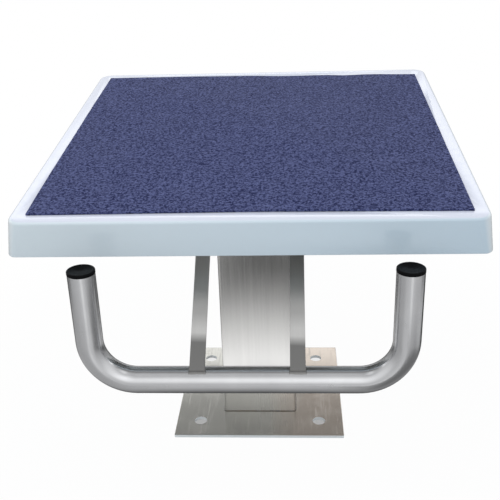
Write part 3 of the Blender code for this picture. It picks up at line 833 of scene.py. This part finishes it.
def make_rail(node, material):
    """Square tube with round corners, drilled for the fasteners that pass it."""
    x_reach, v_reach, (w_low, w_high) = reaches(node)
    centre_x, centre_v = middle(node)
    centre_w = (w_low + w_high) / 2
    half = (w_high - w_low) / 2
    crosswise = node in CROSS_RAILS
    near, far = x_reach if crosswise else v_reach
    reach = (far - near) / 2

    def ring(end, inset):
        points = []
        for side, rise in rounded_outline(half - inset, half - inset, RAIL_CORNER - inset, steps=6):
            x, v = (end * reach, side) if crosswise else (side, end * reach)
            points.append(platform_point(centre_x + x, centre_v + v, centre_w + rise))
        return points

    rings = [ring(-1, 0.0), ring(1, 0.0), ring(1, RAIL_WALL), ring(-1, RAIL_WALL)]
    rail = piece(f"{node}_tube", loft(rings, closed=True), material, [node])
    for label, w in (("tray_screw", w_high), ("head_bolt", w_low), ("strap_bolt", w_low)):
        drill(rail, label, (x_reach, v_reach), w, 4 * RAIL_WALL)
    smoothed(rail, 40)


def make_strap(node, material):
    """The strap solid's own shape, with its faces joined and its round stretches shaded smooth."""
    bm = bmesh.new()
    bm.from_mesh(nodes[node].data)
    bmesh.ops.remove_doubles(bm, verts=bm.verts, dist=0.00001)
    bmesh.ops.dissolve_limit(bm, angle_limit=math.radians(1), verts=bm.verts, edges=bm.edges)
    piece(f"{node}_bar", bm, material, [node], sharp=30)


def strap_lean():
    """Direction up a strap's leg, which is its longest straight edge."""
    mesh = nodes["strap_left"].data
    edges = [mesh.vertices[b].co - mesh.vertices[a].co for a, b in (edge.vertices for edge in mesh.edges)]
    upright = [edge for edge in edges if abs(edge.x) < 0.0005]
    lean = max(upright, key=lambda edge: edge.length).normalized()
    return lean if lean.z > 0 else -lean


# Weld beads


def weld(name, path, radius, material, closed=False):
    """Rippled bead along a path of points: overlapping scallops of molten metal."""
    points = []
    following = path[1:] + path[:1] if closed else path[1:]
    for start, end in zip(path, following):
        count = max(1, round((end - start).length / (BEAD_RIPPLE / len(BEAD_SCALLOP))))
        points += [start.lerp(end, i / count) for i in range(count)]
    if not closed:
        points.append(path[-1])
    rings = []
    last = len(points) - 1
    for i, point in enumerate(points):
        ahead = points[(i + 1) % len(points)] if closed else points[min(i + 1, last)]
        behind = points[i - 1] if closed or i else points[0]
        direction = (ahead - behind).normalized()
        first = direction.cross(BEAD_START).normalized()
        wander = 1 + BEAD_WANDER * noise.noise(point * BEAD_WANDERS_PER_METRE)
        taper = 1.0 if closed else min(1.0, BEAD_END + BEAD_TAPER * min(i, last - i))
        reach = radius * BEAD_SCALLOP[i % len(BEAD_SCALLOP)] * wander * taper
        rings.append(hoop(point, first, direction.cross(first), reach, BEAD_SIDES))
    piece(name, loft(rings, closed=closed), material, sharp=80)


def make_post_welds(material, foot_material):
    _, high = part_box("post")
    outline = rounded_outline(high.x, high.y, POST_CORNER, steps=3)
    foot_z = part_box("base_plate")[1].z + FOOT_BEAD_LIFT
    head_w = span("head_plate", normal, tray_origin)[0] - HEAD_BEAD_DROP
    foot = [Vector((x, y, foot_z)) for x, y in outline]
    head = [Vector((x, y, height_on(head_w, y))) for x, y in outline]
    weld("weld_post_foot", foot, FOOT_BEAD, foot_material, closed=True)
    weld("weld_post_head", head, HEAD_BEAD, material, closed=True)


def make_rail_welds(material):
    """Bead round the lower half of each rail end that butts on another rail."""
    corner = RAIL_BEAD_CORNER
    for node in CROSS_RAILS + INNER_RAILS:
        x_reach, v_reach, (w_low, w_high) = reaches(node)
        middle_w = (w_low + w_high) / 2
        crosswise = node in CROSS_RAILS
        ends, (near, far) = (x_reach, v_reach) if crosswise else (v_reach, x_reach)
        sides = [(near, middle_w), (near, w_low + corner), (near + corner, w_low)]
        sides += [(far - corner, w_low), (far, w_low + corner), (far, middle_w)]
        for number, end in enumerate(ends, start=1):
            places = [(end, side, w) if crosswise else (side, end, w) for side, w in sides]
            path = [platform_point(*place) for place in places]
            weld(f"weld_{node}_{number}", path, RAIL_BEAD, material)


def make_strap_welds(material):
    """Weld metal ground smooth, from the top of each strap's end down to the grip."""
    axis = Vector((0, grip_y, grip_z))
    lean = strap_lean()
    away = Vector((0, -lean.z, lean.y))
    crest = PIPE_RADIUS + STRAP_THICKNESS + GROUND_LIFT

    def pipe_surface(reach):
        return math.sqrt(PIPE_RADIUS ** 2 - reach ** 2)

    for side in ("left", "right"):
        node = f"strap_{side}"
        x_low, x_high = span(node, across)
        foot = span(node, lean, axis)[0]
        start = foot + GROUND_OVERLAP
        stations = [(x_low - beyond, size) for beyond, size in reversed(GROUND_FLANKS)]
        width = x_high - x_low
        stations += [(x_low + width * i / GROUND_STATIONS, 1.0) for i in range(1, GROUND_STATIONS)]
        stations += [(x_high + beyond, size) for beyond, size in GROUND_FLANKS]
        rings = []
        for x, size in stations:
            wander = noise.noise(Vector((x * GROUND_WANDERS_PER_METRE, 3.1, 0.4)))
            toe = GROUND_TOE * (1 + GROUND_WANDER * wander)
            outline = []
            for step in range(GROUND_STEPS + 1):
                share = step / GROUND_STEPS
                reach = toe + (start - toe) * share
                surface = pipe_surface(reach)
                outline.append((reach, surface + (crest - surface) * eased(share) * size))
            outline += [(reach, pipe_surface(reach) - GROUND_ROOT) for reach in (start, foot / 2, toe)]
            rings.append([axis + across * x + lean * along + away * out for along, out in outline])
        piece(f"weld_strap_{side}", loft(rings), material, sharp=50)


# Fasteners


def hexagon_reach(angle, half):
    """Distance from the middle of a hexagon to its outline, at an angle."""
    sector = math.pi / 3
    return half / math.cos((angle % sector) - sector / 2)


def bolt_rings(label, node):
    """Rings down a bolt: its shank, its washer face and its hexagon with chamfered corners."""
    x, v = middle(node)
    low, high = span(node, normal, tray_origin)
    seat = low + HEXAGON_HEIGHT[label]
    face = seat - WASHER_FACE
    thread, half = THREAD_RADIUS[label], HEXAGON_FLATS[label] / 2
    sides = 96

    def ring(w, radius, is_round=True):
        """Circle at w, or the hexagon with its corners cut off by that circle."""
        points = []
        for i, (cos, sin) in enumerate(circle(sides)):
            reach = radius if is_round else min(radius, hexagon_reach(2 * math.pi * i / sides, half))
            points.append(platform_point(x + reach * cos, v + reach * sin, w))
        return points

    rings = [ring(high, thread - THREAD_CHAMFER), ring(high - THREAD_CHAMFER, thread), ring(seat, thread)]
    rings += [ring(seat, half * HEXAGON_FACE), ring(face, half * HEXAGON_FACE)]
    rings.append(ring(face, half * HEXAGON_CORNER, is_round=False))
    for drop in (0.0, 0.35, 0.7, 1.0):
        radius = half * (HEXAGON_CORNER + (HEXAGON_TOP - HEXAGON_CORNER) * drop)
        rings.append(ring(low + HEXAGON_CHAMFER * (1 - drop), radius, is_round=False))
    return rings + [ring(low, half * HEXAGON_CENTRE)]


def make_bolts(material):
    """Bolts with a hexagon head."""
    for label in HEXAGON_FLATS:
        for number, node in enumerate(numbered(label), start=1):
            bm = loft(bolt_rings(label, node))
            piece(f"{label}_head_{number}", bm, material, [node], sharp=25)


def make_washers(material):
    """Flat washers with a broken edge and the punch's round on top."""
    edge = WASHER_EDGE
    for label, bore in WASHER_BORE.items():
        for number, node in enumerate(numbered(label), start=1):
            (left, right), _, (low, high) = reaches(node)
            reach = (right - left) / 2
            profile = [(bore, high), (reach - edge, high), (reach, high - 2 * edge), (reach, low + 4 * edge)]
            profile += [(reach - 1.5 * edge, low + edge), (reach - 5 * edge, low)]
            profile += [(bore + 2 * edge, low), (bore, low + 2 * edge)]
            bm = loft(lathe(profile, *middle(node), 48), closed=True)
            piece(f"{label}_ring_{number}", bm, material, [node])


# Assemble the looks

# The upright and strap finishes carry painted shade at their feet and along the straps
steel_up = brushed_steel("brushed_upright", Vector((0, 0, 1)), BRIGHT_STEEL, 0.24, painted_shading=post_painted_shade)
steel_cross = brushed_steel("brushed_across", across, RAIL_STEEL)
steel_long = brushed_steel("brushed_lengthwise", uphill, RAIL_STEEL)
strap_finish = brushed_steel("brushed_strap", strap_lean(), BRIGHT_STEEL, 0.38, 0.2, strap_painted_shade)
plate_finish = plate_steel("rolled_plate")
bead_finish = weld_steel("weld_tint")
bolt_finish = fastener_steel("bolt_plain")

# Solids that stay as they are, and only get a finish
for label in ("head_nut", "strap_nut", "tray_nut", "tray_screw"):
    for node in numbered(label):
        nodes[node].data.materials.clear()
        nodes[node].data.materials.append(bolt_finish)

make_tray(gel_coat("gel_coat_white"), laminate("glass_laminate"))
make_mat(mat_rubber("mat_grain"))
make_grip(pipe_steel("satin_pipe"))
make_caps(cap_plastic("cap_black"))
make_post(steel_up)
make_base_plate(plate_finish, cut_steel("drilled_wall", 0.86), cut_steel("sheared_edge", 0.93))
make_head_plate(plate_finish)
for node in SIDE_RAILS + INNER_RAILS:
    make_rail(node, steel_long)
for node in CROSS_RAILS:
    make_rail(node, steel_cross)
for node in ("strap_left", "strap_right"):
    make_strap(node, strap_finish)
# The foot bead is a darker copy of the weld finish: painted shade along the post's foot
make_post_welds(bead_finish, weld_steel("weld_foot_painted_shade", shade=0.4))
make_rail_welds(bead_finish)
make_strap_welds(strap_finish)
make_bolts(bolt_finish)
make_washers(bolt_finish)


# Floor, world, lamp and camera

# Brightness of the floor in the metal's eyes, by distance from the post, for level and for steep rays
FLOOR_RADIUS = 0.95
FLOOR_DROP = 0.0005
POOL = [
    (0.0, 0.22), (0.18, 0.22), (0.22, 1.25), (0.30, 0.98), (0.42, 0.62),
    (0.50, 0.38), (0.57, 0.22), (0.66, 0.05), (0.80, 0.05), (0.95, 0.50),
]
STEEP_POOL = [(0.0, 0.08), (0.30, 0.12), (0.36, 0.23), (0.46, 0.42), (0.63, 0.66), (0.82, 0.72), (0.95, 0.75)]
LEFT_FLOOR = (0.50, 0.50, 0.50)
RIGHT_FLOOR = (0.20, 0.20, 0.20)

# Brightness of the floor in the camera's eyes, seen through the anchor holes at the front and at the rear
FRONT_HOLE = 0.42
REAR_HOLE = 0.84

# Brightness of the room in the metal's eyes, by elevation in degrees, and by the cosine from the window
AHEAD = [
    (-90, 0.50), (-40, 0.75), (-27, 0.80), (-15, 0.72), (-3, 0.76), (14, 1.15),
    (33, 1.26), (48, 0.90), (62, 0.66), (76, 0.66), (90, 0.72),
]
BEHIND = [
    (-90, 0.14), (-20, 0.20), (0, 0.45), (20, 0.80), (29, 2.10),
    (31.7, 2.40), (32.9, 0.52), (60, 0.25), (90, 0.35),
]
SIDEWAYS = [
    (-1.0, 0.38), (-0.5, 0.45), (0.0, 0.60), (0.4, 0.71),
    (0.68, 0.80), (0.86, 0.85), (0.97, 0.98), (1.0, 1.10),
]
WINDOW_TURN = math.radians(7)
WINDOW_GAIN = 0.10
LOW_STRIP_GAIN = 0.32
SKYLIGHT_GAIN = 1.5

# Colour of the daylight on the object, by height from straight down to straight up
SKY = [
    (0.0, (0.45, 0.46, 0.47)), (0.45, (0.48, 0.53, 0.55)), (0.52, (0.53, 0.61, 0.645)),
    (0.75, (0.71, 0.76, 0.81)), (1.0, (0.86, 0.89, 0.92)),
]

WHITE = (1.0, 1.0, 1.0, 1.0)
LAMP_PLACE = Vector((-0.5, -0.6, 2.2))
LAMP_TARGET = Vector((0, 0, 0.3))
LAMP_SIZE = 1.8
LAMP_POWER = 9.5


class Surroundings(Graph):
    """The nodes of the floor's material, or those of the world."""

    def __init__(self, tree):
        super().__init__(tree)
        tree.nodes.clear()
        self.rays = self.add("LightPath").outputs
        self.seen = self.math("MAXIMUM", self.rays["Is Camera Ray"], self.rays["Is Transmission Ray"])

    def ramp(self, factor, stops):
        node = self.add("ValToRGB")
        elements = node.color_ramp.elements
        while len(elements) < len(stops):
            elements.new(0.5)
        for element, (position, colour) in zip(elements, stops):
            element.position = position
            element.color = (*colour, 1.0)
        return self.feed(node, factor)

    def shader(self, kind, *values):
        return self.feed(self.add(kind), *values)

    def blend(self, factor, first, second):
        return self.shader("MixShader", factor, first, second)

    def finish(self, kind, shader):
        self.fill(self.add(kind).inputs["Surface"], shader)


def levels(stops, low, high):
    """Grey ramp stops, with their positions counted from low to high."""
    return [((position - low) / (high - low), (level, level, level)) for position, level in stops]


def elevations(stops):
    """Grey ramp stops by elevation in degrees, over the sine from -1 to 1."""
    return levels([(math.sin(math.radians(angle)), level) for angle, level in stops], -1.0, 1.0)


def floor_in_metal(room, x, y, distance):
    """What the metal sees of the floor: a lit pool round the foot, darker on both sides and behind."""
    share = room.math("DIVIDE", distance, FLOOR_RADIUS)
    away = room.smooth(distance, 0.35, 0.55)
    left = room.times(away, room.smooth(x, -0.12, -0.34))
    band = room.times(room.smooth(x, 0.10, 0.25), room.smooth(x, 0.75, 0.58))
    right = room.product(away, band, room.smooth(distance, 0.94, 0.84))
    slant = room.math("MULTIPLY_ADD", distance, -0.52, room.add("LayerWeight").outputs["Facing"])
    steep = room.ramp(share, levels(STEEP_POOL, 0.0, FLOOR_RADIUS))
    level = room.ramp(share, levels(POOL, 0.0, FLOOR_RADIUS))
    pool = room.mix(room.smooth(slant, 0.11, 0.18), steep, level)
    pool = room.mix(left, pool, LEFT_FLOOR)
    pool = room.mix(right, pool, RIGHT_FLOOR)
    return room.shader("Emission", pool, room.smooth(y, -0.20, 0.20, 1.0, 0.15))


def floor_in_camera(room, x, y):
    """White floor, with the shade that the plate's anchor holes show under it."""
    breadth = room.math("MAXIMUM", room.math("ABSOLUTE", x), room.math("ABSOLUTE", y))
    under_plate = room.smooth(breadth, 0.128, 0.122)
    shade = room.smooth(y, -0.09, 0.09, FRONT_HOLE - 1.0, REAR_HOLE - 1.0)
    return room.shader("Emission", WHITE, room.math("MULTIPLY_ADD", under_plate, shade, 1.0))


def make_floor():
    """Pale floor: white to the camera, matt to the light, and a picture of its own to the metal."""
    bm = bmesh.new()
    bmesh.ops.create_circle(bm, cap_ends=True, segments=96, radius=FLOOR_RADIUS)
    floor = bare("floor", bm)
    floor.location = (0, 0, -FLOOR_DROP)

    material = bpy.data.materials.new("floor_white")
    material.use_nodes = True
    room = Surroundings(material.node_tree)
    place = room.add("TexCoord").outputs["Object"]
    x, y, _ = room.axes(place)
    length = room.add("VectorMath", operation="LENGTH")
    room.feed(length, place)
    distance = length.outputs["Value"]
    matt = room.shader("BsdfDiffuse", (0.80, 0.80, 0.80, 1.0))
    cleared = room.smooth(distance, 0.475, 0.931, 0.97, 1.0)
    plain = room.blend(room.times(room.seen, cleared), matt, floor_in_camera(room, x, y))
    mirrored = floor_in_metal(room, x, y, distance)
    room.finish("OutputMaterial", room.blend(room.rays["Is Glossy Ray"], plain, mirrored))
    floor.data.materials.append(material)


def room_in_metal(room, x, y, z, height):
    """What the metal mirrors of the room: bright ahead, with strips and a skylight, and dim behind."""
    level = room.math("SQRT", room.math("MAXIMUM", room.math("SUBTRACT", 1.0, room.times(z, z)), 0.0001))
    towards = room.sum(room.times(x, math.sin(WINDOW_TURN)), room.times(y, -math.cos(WINDOW_TURN)))
    facing = room.math("DIVIDE", towards, level)
    sideways = room.ramp(room.math("MULTIPLY_ADD", facing, 0.5, 0.5), levels(SIDEWAYS, -1.0, 1.0))
    upright = room.times(room.smooth(z, -0.1, 0.1), room.smooth(z, 0.87, 0.80))
    strip = room.product(room.smooth(facing, 0.975, 0.995), upright, WINDOW_GAIN)
    low_strip = room.product(room.smooth(facing, 0.982, 0.998), room.smooth(z, -0.30, -0.40), LOW_STRIP_GAIN)
    beside = room.smooth(room.math("ABSOLUTE", x), 0.18, 0.30)
    skylight = room.product(beside, room.smooth(z, 0.80, 0.90), SKYLIGHT_GAIN)
    gain = room.sum(room.sum(strip, low_strip), room.sum(skylight, 1.0))
    ahead = room.vector("MULTIPLY", room.ramp(height, elevations(AHEAD)), sideways)
    behind = room.ramp(height, elevations(BEHIND))
    return room.mix(room.smooth(y, -0.15, 0.15), room.vector("MULTIPLY", ahead, gain), behind)


def make_world():
    """White behind the object, soft daylight on it, and a room for the metal to mirror."""
    world = bpy.data.worlds.new("daylight")
    bpy.context.scene.world = world
    world.use_nodes = True
    room = Surroundings(world.node_tree)
    x, y, z = room.axes(room.add("TexCoord").outputs["Generated"])
    height = room.math("MULTIPLY_ADD", z, 0.5, 0.5)
    white = room.shader("Background", WHITE, 1.0)
    daylight = room.shader("Background", room.ramp(height, SKY), 1.0)
    mirrored = room.shader("Background", room_in_metal(room, x, y, z, height), 1.0)
    unseen = room.blend(room.rays["Is Glossy Ray"], daylight, mirrored)
    room.finish("OutputWorld", room.blend(room.seen, unseen, white))


def make_lamp():
    """Soft lamp overhead that the metal doesn't mirror."""
    data = bpy.data.lights.new("overhead", "AREA")
    data.shape = "SQUARE"
    data.size = LAMP_SIZE
    data.energy = LAMP_POWER
    lamp = bpy.data.objects.new("overhead", data)
    lamp.location = LAMP_PLACE
    lamp.rotation_euler = (LAMP_TARGET - LAMP_PLACE).to_track_quat("-Z", "Y").to_euler()
    lamp.visible_glossy = False
    bpy.context.scene.collection.objects.link(lamp)


def make_camera():
    """Camera at its place, turned by its yaw, pitch and roll."""
    yaw, pitch, roll = CAMERA_YAW, CAMERA_PITCH, CAMERA_ROLL
    ahead = Vector((math.sin(yaw) * math.cos(pitch), math.cos(yaw) * math.cos(pitch), -math.sin(pitch)))
    level = Vector((math.cos(yaw), -math.sin(yaw), 0))
    down = ahead.cross(level)
    right = level * math.cos(roll) + down * math.sin(roll)
    up = level * math.sin(roll) - down * math.cos(roll)
    data = bpy.data.cameras.new("camera")
    data.sensor_width = SENSOR_WIDTH
    data.lens = FOCAL_PIXELS * SENSOR_WIDTH / IMAGE_SIDE
    camera = bpy.data.objects.new("camera", data)
    turn = Matrix((right, up, -ahead)).transposed().to_4x4()
    camera.matrix_world = Matrix.Translation(CAMERA_PLACE) @ turn
    bpy.context.scene.collection.objects.link(camera)
    bpy.context.scene.camera = camera


make_floor()
make_world()
make_lamp()
make_camera()
bpy.context.scene.view_settings.view_transform = "Standard"

bpy.context.view_layer.update()
